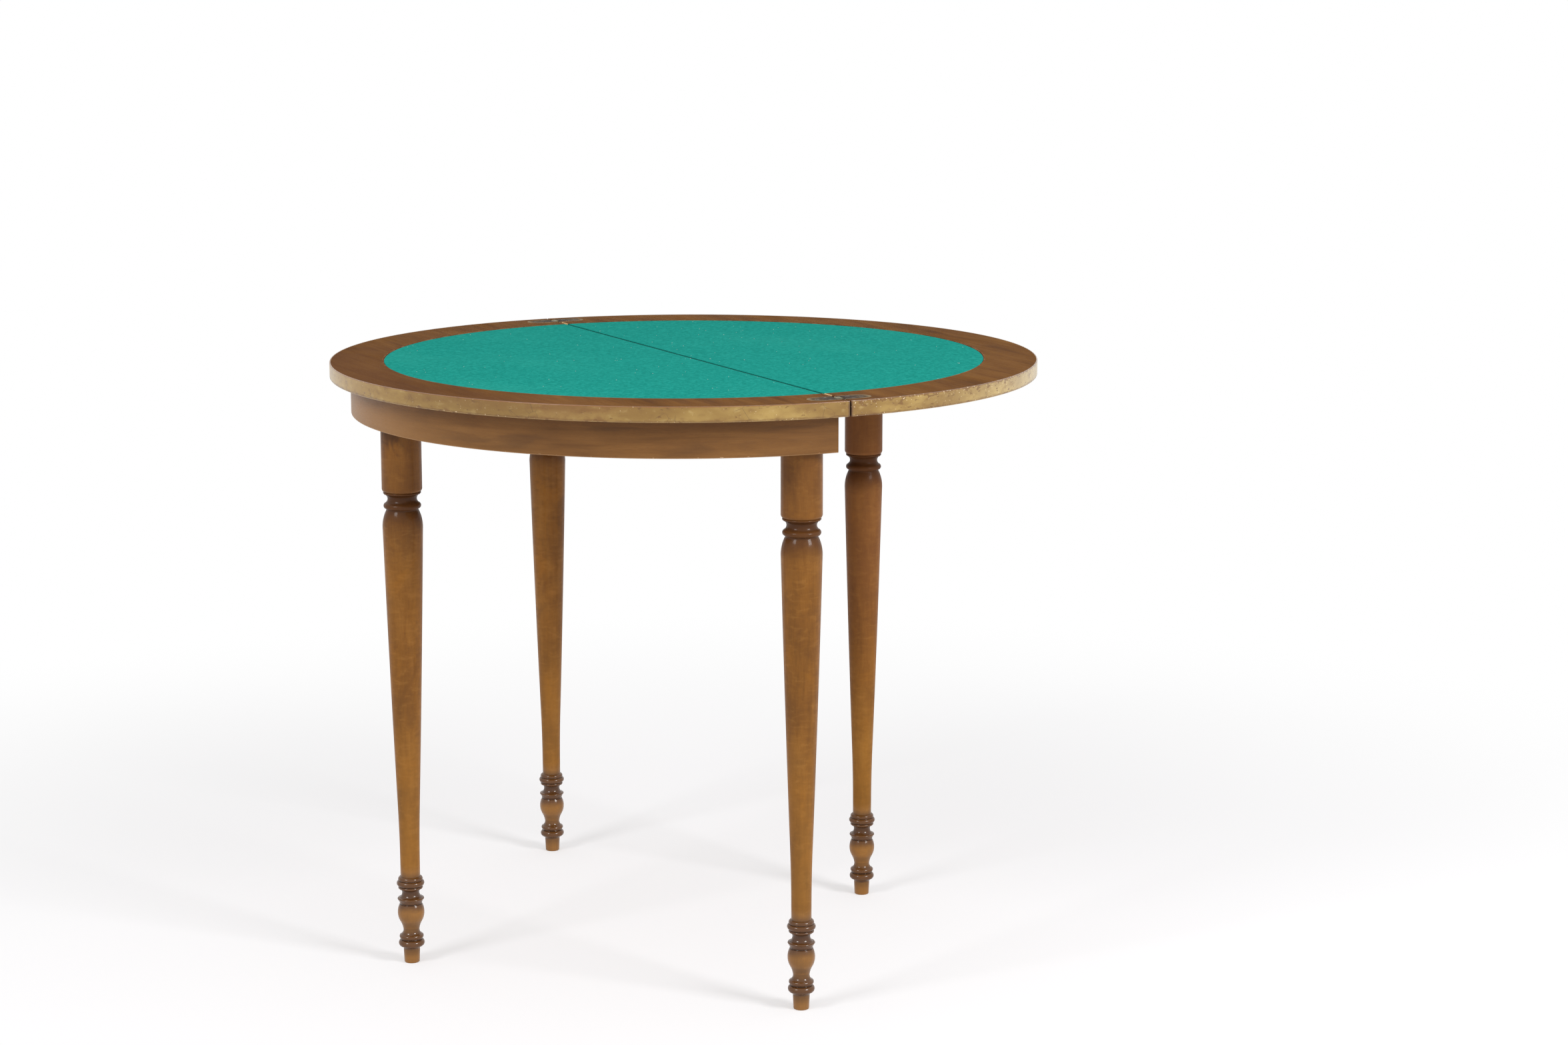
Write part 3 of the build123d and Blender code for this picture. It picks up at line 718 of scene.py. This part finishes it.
# %% [markdown]
# A turned leg is one outline swung round an upright axis. The outline is written down as a
# turner would read it, from the floor up: straight runs of two points and curves of three.
# Each point is a radius and a height above the floor in millimetres. A curve becomes as many
# chords as it needs to stay within `curve_slack` of the true arc.
# %% Outline of the turned leg
turnings = {
    "foot": [(8.4, 0), (9.2, 0.3), (9.6, 1.2)],
    "foot taper": [(9.6, 1.2), (10.3, 17.0)],
    "foot underside": [(10.3, 17.0), (11.0, 19.8), (13.4, 21.2)],
    "foot bead": [(13.4, 21.2), (15.9, 23.6), (13.7, 29.8)],
    "foot notch": [(13.7, 29.8), (12.3, 30.7), (14.0, 31.6)],
    "low disc": [(14.0, 31.6), (15.2, 34.1), (14.6, 36.0)],
    "low neck": [(14.6, 36.0), (11.0, 39.3), (10.1, 43.2)],
    "vase foot": [(10.1, 43.2), (11.2, 48.4), (13.7, 54.0)],
    "vase": [(13.7, 54.0), (16.8, 66.0), (14.3, 76.2)],
    "vase notch": [(14.3, 76.2), (12.6, 77.2), (14.1, 78.2)],
    "saucer": [(14.1, 78.2), (15.1, 80.8), (16.7, 83.2)],
    "saucer top": [(16.7, 83.2), (16.4, 84.2), (14.6, 84.9)],
    "high neck": [(14.6, 84.9), (10.9, 90.4), (12.8, 96.4)],
    "thin ring": [(12.8, 96.4), (15.4, 97.6), (14.9, 99.2)],
    "thin ring notch": [(14.9, 99.2), (14.1, 99.7), (15.0, 100.2)],
    "ring": [(15.0, 100.2), (17.4, 103.5), (15.3, 106.9)],
    "ring notch": [(15.3, 106.9), (14.3, 107.4), (15.3, 107.9)],
    "lip": [(15.3, 107.9), (15.4, 109.6), (12.3, 112.6)],
    "ankle": [(12.3, 112.6), (12.45, 152.0), (13.35, 192.0)],
    "taper": [(13.35, 192.0), (19.6, 375.0), (24.8, 557.5)],
    "shoulder": [(24.8, 557.5), (23.6, 571.5), (19.9, 581.7)],
    "collar groove": [(19.9, 581.7), (20.1, 583.4), (21.9, 584.3)],
    "collar bead": [(21.9, 584.3), (23.1, 587.8), (21.3, 590.4)],
    "collar cove": [(21.3, 590.4), (18.1, 595.3), (22.4, 601.9)],
    "scribed line": [(22.4, 601.9), (22.0, 602.3)],
    "collar ring": [(22.0, 602.3), (23.3, 603.4), (22.2, 604.5)],
    "cylinder turn": [(22.2, 604.5), (24.3, 606.6), (24.9, 609.5)],
    "cylinder": [(24.9, 609.5), (24.9, 685.45)],
    "tenon": [(11.0, 685.5), (11.0, 717.5)],
}
curve_slack = 0.008
fewest_chords = 6
straight_step = 12.0
same_point = 0.02
least_rise = 0.01


def curve_points(first, middle, last):
    """Points on the circle through three points, so many that chords stay within the slack."""
    (ax, ay), (bx, by), (cx, cy) = first, middle, last
    twice = 2 * (ax * (by - cy) + bx * (cy - ay) + cx * (ay - by))
    a2, b2, c2 = ax * ax + ay * ay, bx * bx + by * by, cx * cx + cy * cy
    ux = (a2 * (by - cy) + b2 * (cy - ay) + c2 * (ay - by)) / twice
    uy = (a2 * (cx - bx) + b2 * (ax - cx) + c2 * (bx - ax)) / twice
    start, through, end = (math.atan2(y - uy, x - ux) for x, y in (first, middle, last))
    sweep = (end - start) % math.tau
    if (through - start) % math.tau > sweep:
        sweep -= math.tau
    radius = math.hypot(ax - ux, ay - uy)
    needed = math.ceil(abs(sweep) * math.sqrt(radius / (8 * curve_slack)))
    count = max(fewest_chords, needed)
    turns = (start + sweep * i / count for i in range(count + 1))
    return [(ux + radius * math.cos(t), uy + radius * math.sin(t)) for t in turns]


outline = []
for points in turnings.values():
    if len(points) == 2:
        (ax, ay), (bx, by) = points
        count = max(1, round(math.hypot(bx - ax, by - ay) / straight_step))
        run = [(ax + (bx - ax) * i / count, ay + (by - ay) * i / count) for i in range(count + 1)]
    else:
        run = curve_points(*points)
    outline += [p for p in run if not outline or math.dist(p, outline[-1]) > same_point]
for i in range(1, len(outline)):
    if outline[i][1] <= outline[i - 1][1]:
        outline[i] = (outline[i][0], outline[i - 1][1] + least_rise)
print("outline of the leg has", len(outline), "points")


# %% [markdown]
# A place on the outline lies in a recess when the outline nearby stands out further. That
# depth becomes the attribute recess, which the leg's finish reads for its painted shade. The
# outline's radius becomes the attribute width.
# %% Measure the recesses
shade_reach = 9.0
shade_slope = 0.12
shade_depth = 3.6
half_dark = 0.5

profile = bpy.data.meshes.new("leg outline")
profile.from_pydata(
    [(0, 0, h * MM) for r, h in outline], [(i, i + 1) for i in range(len(outline) - 1)], []
)
width = profile.attributes.new("width", "FLOAT", "POINT")
recess = profile.attributes.new("recess", "FLOAT", "POINT")
for i, (r, h) in enumerate(outline):
    near = [a - abs(b - h) * shade_slope for a, b in outline if abs(b - h) < shade_reach]
    width.data[i].value = r * MM
    deep = 0.0 if h > frame_bottom else (max(near) - r) / shade_depth
    recess.data[i].value = min(1.0, max(0.0, deep))
dark_points = sum(item.value > half_dark for item in recess.data)
print(dark_points, "points of the outline lie deep in a recess")

# %% [markdown]
# The tree does what a lathe does: it stands the outline's points on the axis and sweeps a
# circle along them, scaled at each point to its width. Edges that bend by more than the
# sharp angle stay crisp, and the rest is shaded smooth.
# %% Tree of the lathe
lathe, socket = new_tree(
    "lathe", {"Sides": "Int", "Place": "Vector", "Sharp Angle": "Float", "Finish": "Material"}
)
rail = socket["Geometry"].node("GeometryNodeMeshToCurve", {}, {"Mesh": socket["Geometry"]})
round_bar = rail.node(
    "GeometryNodeCurvePrimitiveCircle",
    {"mode": "RADIUS"},
    {"Resolution": socket["Sides"], "Radius": 1.0},
)
wide = rail.node("GeometryNodeInputNamedAttribute", {"data_type": "FLOAT"}, {"Name": "width"})
turned = rail.node(
    "GeometryNodeCurveToMesh",
    {},
    {"Curve": rail, "Profile Curve": round_bar, "Scale": wide, "Fill Caps": True},
)
smooth = rail.node("GeometryNodeSetShadeSmooth", {"domain": "FACE"}, {"Geometry": turned})
bend = rail.node("GeometryNodeInputMeshEdgeAngle")
sharp = rail.node(
    "FunctionNodeCompare", {"operation": "GREATER_THAN"}, {"A": bend, "B": socket["Sharp Angle"]}
)
crisp = rail.node(
    "GeometryNodeSetShadeSmooth",
    {"domain": "EDGE"},
    {"Geometry": smooth, "Selection": sharp, "Shade Smooth": False},
)
end_tree(moved(crisp, socket["Place"]), socket["Finish"])

# %% [markdown]
# Each leg stands on the axis of its CAD leg and takes its place.
# %% Turn the legs
leg_sides = 80
sharp_angle = math.radians(32)

for node, body in (
    ("leg_front", "frame"),
    ("leg_left", "frame"),
    ("leg_right", "frame"),
    ("leg_slide", "pull_out_leg"),
):
    low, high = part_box(node)
    middle = (low + high) / 2
    values = {
        "Sides": leg_sides,
        "Place": (middle.x, middle.y, 0.0),
        "Sharp Angle": sharp_angle,
        "Finish": leg_finish,
    }
    leg = grow("turned_" + node, lathe, profile.copy(), values, body, "leg_wood", node)
    made = [round(x / MM, 1) for x in leg.dimensions]
    print(node, "measures", made, "mm, and the CAD leg", [round(x / MM, 1) for x in high - low])

# %% [markdown]
# The cloth is glued down on each half. It is a half-moon with a soft, rounded edge where
# it meets the border, and it lies almost flat, with the slightest waves.
# %% Form of the baize
joint_half = 1.8 * MM
cloth_high = 749.7 * MM
cloth_round = 0.6 * MM
cloth_wave = 0.05 * MM
wave_size = 24 * MM
arc_steps = 260
line_steps = 150


def half_moon(inset, side):
    """One nested outline of the half-moon cloth, inset from its edge, as (x, y) points."""
    start, radius = joint_half + inset, baize_radius - inset
    reach = math.sqrt(max(0.0, radius**2 - start**2))
    turn = math.atan2(start, reach)
    arc = [turn + (math.pi - 2 * turn) * i / arc_steps for i in range(arc_steps)]
    points = [(radius * math.cos(a), radius * math.sin(a)) for a in arc]
    points += [(-reach + 2 * reach * i / line_steps, start) for i in range(line_steps)]
    return [(x, side * y) for x, y in points]


def cloth_height(x, y, inset):
    """Height of the cloth's upper face: round at the edge, with slight waves inside."""
    drop = max(0.0, cloth_round - inset)
    rounding = cloth_round - math.sqrt(max(0.0, cloth_round**2 - drop**2))
    wave = noise.noise(Vector((x, y, 0)) / wave_size) * cloth_wave * min(1.0, inset / wave_size)
    return cloth_high - cloth_wave - rounding + wave


print("outline of a cloth has", len(half_moon(0.0, 1)), "points")

# %% [markdown]
# The mesh is a set of nested outlines from the edge to the middle, so there are many rows
# where the cloth rounds over and few where it is flat. Each half is cut from its own sheet.
# %% Lay the baize
cloth_low = 748.5 * MM
edge_rows = (0.0, 0.05, 0.18, 0.36, 0.6, 1.0, 2.0, 4.0)
row_gap = 5.0 * MM


def lay_cloth(name, side, body, node):
    """The half-moon cloth of one half, as a closed thin sheet."""
    deepest = (baize_radius - joint_half) / 2
    insets = [r * MM for r in edge_rows]
    while insets[-1] + row_gap < deepest - row_gap / 2:
        insets.append(insets[-1] + row_gap)
    mesh = bmesh.new()
    floor_row = [mesh.verts.new((x, y, cloth_low)) for x, y in half_moon(0.0, side)]
    rows = [floor_row]
    for inset in insets:
        places = [(x, y, cloth_height(x, y, inset)) for x, y in half_moon(inset, side)]
        rows.append([mesh.verts.new(place) for place in places])
    for outer, inner in zip(rows, rows[1:]):
        for i in range(len(outer)):
            j = (i + 1) % len(outer)
            mesh.faces.new((outer[i], outer[j], inner[j], inner[i]))
    mesh.faces.new(rows[-1])
    mesh.faces.new(list(reversed(floor_row)))
    bmesh.ops.recalc_face_normals(mesh, faces=mesh.faces)
    for face in mesh.faces:
        face.smooth = True
    data = bpy.data.meshes.new(name)
    mesh.to_mesh(data)
    mesh.free()
    data.materials.append(baize_finish)
    return seat(add_object(name, data), body, "baize", node)


cloths = {
    "fixed": lay_cloth("cloth_fixed", -1, "frame", "fixed_baize"),
    "flap": lay_cloth("cloth_flap", 1, "flap", "flap_baize"),
}
for half, cloth in cloths.items():
    half + "_top"

# %% [markdown]
# Pale lint lies on the cloth. One tree strews points over the upper faces of a half's cloth
# and sets a small flat speck on each, turned and sized at random from a fixed seed.
# %% Tree of lint
lint_finish, place = new_finish("lint")
coat(place, mix(mottle(place, MM), paint(196, 214, 204), paint(236, 240, 232)), 0.9)
tell(lint_finish)

lint_tree, socket = new_tree(
    "lint",
    {
        "Density": "Float",
        "Radius": "Float",
        "Flatness": "Float",
        "Seed": "Int",
        "Finish": "Material",
    },
)
cloth_mesh, seed = socket["Geometry"], socket["Seed"]
facing = apart(cloth_mesh.node("GeometryNodeInputNormal"))[2]
points = cloth_mesh.node(
    "GeometryNodeDistributePointsOnFaces",
    {},
    {
        "Mesh": cloth_mesh,
        "Selection": facing.math("GREATER_THAN", facing, 0.9),
        "Density": socket["Density"],
        "Seed": seed,
    },
)
ball = points.node("GeometryNodeMeshIcoSphere", {}, {"Radius": socket["Radius"], "Subdivisions": 1})
wide = random_value(points, 0.5, 1.6, seed)
long = random_value(points, 0.6, 2.6, seed + 1)
turn = joined(points, Z=random_value(points, 0.0, math.pi, seed + 2))
size = joined(points, X=long, Y=wide, Z=socket["Flatness"])
specks = points.node(
    "GeometryNodeInstanceOnPoints",
    {},
    {"Points": points, "Instance": ball, "Rotation": turn, "Scale": size},
)
end_tree(specks, socket["Finish"])

# %% [markdown]
# The same tree runs on a copy of each half's cloth, with a seed of its own, so the two
# halves don't carry the same pattern. The lint rides on the half that it lies on.
# %% Strew the lint
lint = {"Density": 260.0, "Radius": 0.42 * MM, "Flatness": 0.4, "Finish": lint_finish}
for half, body, seed in (("fixed", "frame", 11), ("flap", "flap", 12)):
    grow("lint_" + half, lint_tree, cloths[half].data.copy(), {**lint, "Seed": seed}, body, "baize")

# %% [markdown]
# The screws stay where the CAD has them. Each CAD node holds several loose solids, so a
# copy of its mesh is merged and walked from edge to edge to find them, and each one's box
# gives a screw's place.
# %% Find the screws in the CAD nodes
same_corner = 0.001 * MM


def solids_of(node):
    """(lowest, highest) corner of each loose solid in a CAD node."""
    mesh = bmesh.new()
    mesh.from_mesh(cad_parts[node].data)
    bmesh.ops.remove_doubles(mesh, verts=mesh.verts, dist=same_corner)
    left, found = set(mesh.verts), []
    while left:
        island, waiting = [], [left.pop()]
        while waiting:
            vert = waiting.pop()
            island.append(vert.co.copy())
            for edge in vert.link_edges:
                other = edge.other_vert(vert)
                if other in left:
                    left.remove(other)
                    waiting.append(other)
        low = Vector([min(corner[axis] for corner in island) for axis in range(3)])
        high = Vector([max(corner[axis] for corner in island) for axis in range(3)])
        found.append((low, high))
    mesh.free()
    return sorted(found, key=lambda box: tuple(round(v, 4) for v in box[0]))


def places_of(node, top):
    """A mesh with one vertex at the head's face of each screw in a CAD node."""
    mesh = bpy.data.meshes.new(node + " places")
    points = []
    for low, high in solids_of(node):
        points.append(((low.x + high.x) / 2, (low.y + high.y) / 2, high.z if top else low.z))
    mesh.from_pydata(points, [], [])
    return mesh


# %% [markdown]
# One tree makes a screw: a head and a shank joined, less a bar that cuts the driver slot. It
# sets one on every place and turns each slot by a random angle from a fixed seed, because
# no one drives a screw to a chosen angle.
# %% Tree of slotted screws
screw_tree, socket = new_tree(
    "slotted screws",
    {
        "Head Radius": "Float",
        "Head Height": "Float",
        "Head Foot": "Float",
        "Shank Radius": "Float",
        "Length": "Float",
        "Slot Width": "Float",
        "Slot Depth": "Float",
        "Turned Over": "Bool",
        "Seed": "Int",
        "Finish": "Material",
    },
)
below_face = 0.2 * MM
head_sides = 28
shank_sides = 20
start = socket["Geometry"]
head = start.node(
    "GeometryNodeMeshCone",
    {},
    {
        "Vertices": head_sides,
        "Radius Top": socket["Head Radius"],
        "Radius Bottom": socket["Head Foot"],
        "Depth": socket["Head Height"],
    },
)
head = moved(head, joined(start, Z=socket["Head Height"] * -1))
shank = start.node(
    "GeometryNodeMeshCylinder",
    {},
    {"Vertices": shank_sides, "Radius": socket["Shank Radius"], "Depth": socket["Length"]},
)
shank = moved(shank, joined(start, Z=socket["Length"] * -0.5 - below_face))
slot_size = joined(
    start, X=socket["Head Radius"] * 3, Y=socket["Slot Width"], Z=socket["Slot Depth"] * 2
)
slot_bar = start.node("GeometryNodeMeshCube", {}, {"Size": slot_size})
solid = start.node("GeometryNodeMeshBoolean", {"operation": "UNION"}, {"Mesh 2": [head, shank]})
slotted = start.node(
    "GeometryNodeMeshBoolean", {"operation": "DIFFERENCE"}, {"Mesh 1": solid, "Mesh 2": slot_bar}
)
angle = random_value(start, 0.0, math.pi, socket["Seed"])
turn = joined(start, X=socket["Turned Over"] * math.pi, Z=angle)
screws = start.node(
    "GeometryNodeInstanceOnPoints", {}, {"Points": start, "Instance": slotted, "Rotation": turn}
)
end_tree(screws, socket["Finish"])

# %% [markdown]
# The hinge screws are short and countersunk, with their heads flush with the leaves. The
# pocket screws under the top have cylinder heads and point up, so they are turned over.
# %% Drive the screws
hinge_screw = {
    "Head Radius": 3.1 * MM,
    "Head Foot": 1.5 * MM,
    "Head Height": 1.6 * MM,
    "Shank Radius": 1.5 * MM,
    "Length": 11.5 * MM,
    "Slot Width": 0.7 * MM,
    "Slot Depth": 0.8 * MM,
    "Turned Over": False,
    "Seed": 4,
    "Finish": metal_finish["screw_brass"],
}
frame_screw = {
    "Head Radius": 4.0 * MM,
    "Head Foot": 4.0 * MM,
    "Head Height": 3.0 * MM,
    "Shank Radius": 2.0 * MM,
    "Length": 33.5 * MM,
    "Slot Width": 1.0 * MM,
    "Slot Depth": 1.3 * MM,
    "Turned Over": True,
    "Seed": 7,
    "Finish": metal_finish["screw_steel"],
}
for node, body, values, slot in (
    ("fixed_hinge_screws", "frame", hinge_screw, "screw_brass"),
    ("flap_hinge_screws", "flap", hinge_screw, "screw_brass"),
    ("top_screws", "frame", frame_screw, "screw_steel"),
):
    places = places_of(node, not values["Turned Over"])
    grow("slotted_" + node, screw_tree, places, values, body, slot, node)

# %% [markdown]
# The studio is a pale floor, a white room and two lamps. The floor takes the table's shadow
# near it and turns white further out. That white is only for the eye: the glow is mixed in
# for rays that see the floor directly or mirrored, and it sheds no light on the table.
# %% Lay the floor
floor_reach = 30.0
white_share = 0.45
white_reach = (0.5, 2.0)
white = (1, 1, 1, 1)


def seen_directly(start):
    """1 for rays from the camera, and for mirrored and refracted ones. 0 for all others."""
    rays = start.node("ShaderNodeLightPath", output="Is Camera Ray")
    return rays.larger(rays.twin("Is Glossy Ray")).larger(rays.twin("Is Transmission Ray"))


floor_mesh = bpy.data.meshes.new("floor")
corners = ((-1, -1), (1, -1), (1, 1), (-1, 1))
floor_mesh.from_pydata(
    [(x * floor_reach, y * floor_reach, 0) for x, y in corners], [], [(0, 1, 2, 3)]
)
floor = add_object("floor", floor_mesh)

floor_finish, place = new_finish("floor")
x, y, _ = apart(place)
from_table = (x * x + y * y) ** 0.5
far = white_share + band(from_table, *white_reach) * (1 - white_share)
below = place.node("ShaderNodeNewGeometry", output="Backfacing")
matt = place.node("ShaderNodeBsdfDiffuse", {}, {"Color": paint(248, 247, 250)})
glow = place.node("ShaderNodeEmission", {}, {"Color": white, "Strength": 1.0})
blend = place.node("ShaderNodeMixShader", {}, {0: far * seen_directly(place), 1: matt, 2: glow})
clear = place.node("ShaderNodeBsdfTransparent")
blend = place.node("ShaderNodeMixShader", {}, {0: below, 1: blend, 2: clear})
place.node("ShaderNodeOutputMaterial", {}, {"Surface": blend})
floor_mesh.materials.append(floor_finish)
tell(floor_finish)

# %% [markdown]
# The room fills in with a weak, slightly warm light from all sides. To the eye it is plain
# white too.
# %% Light the room
room_level = 0.6

room = bpy.data.worlds.new("room")
room.use_nodes = True
room.node_tree.nodes.clear()
start = Wire(room.node_tree)
warm = {"Color": paint(255, 254, 252), "Strength": room_level}
room_light = start.node("ShaderNodeBackground", {}, warm)
room_white = start.node("ShaderNodeBackground", {}, {"Color": white, "Strength": 1.0})
blend = start.node(
    "ShaderNodeMixShader", {}, {0: seen_directly(start), 1: room_light, 2: room_white}
)
start.node("ShaderNodeOutputWorld", {}, {"Surface": blend})
scene.world = room
print("room light at", room_level)

# %% [markdown]
# Two large soft lamps stand one on each side of the camera, and the right one is stronger.
# Their places are given as the photographer would: across, back toward the camera, and up.
# %% Stand the lamps
lamp_size = 1.2
lamp_target = Vector((0, 0, 0.6))

camera_right = camera_heading.cross(Vector((0, 0, 1)))
for name, across, back, up, power in (
    ("lamp left", -2.6, 2.6, 3.0, 68.0),
    ("lamp right", 2.9, 2.2, 2.5, 104.0),
):
    data = bpy.data.lights.new(name, "AREA")
    data.shape = "SQUARE"
    data.size = lamp_size
    data.energy = power
    place = camera_right * across - camera_heading * back + Vector((0, 0, up))
    lamp = add_object(name, data, place)
    aim(lamp, lamp_target - place)
    print(name, [round(v, 2) for v in lamp.location])

scene.view_settings.view_transform = "Standard"
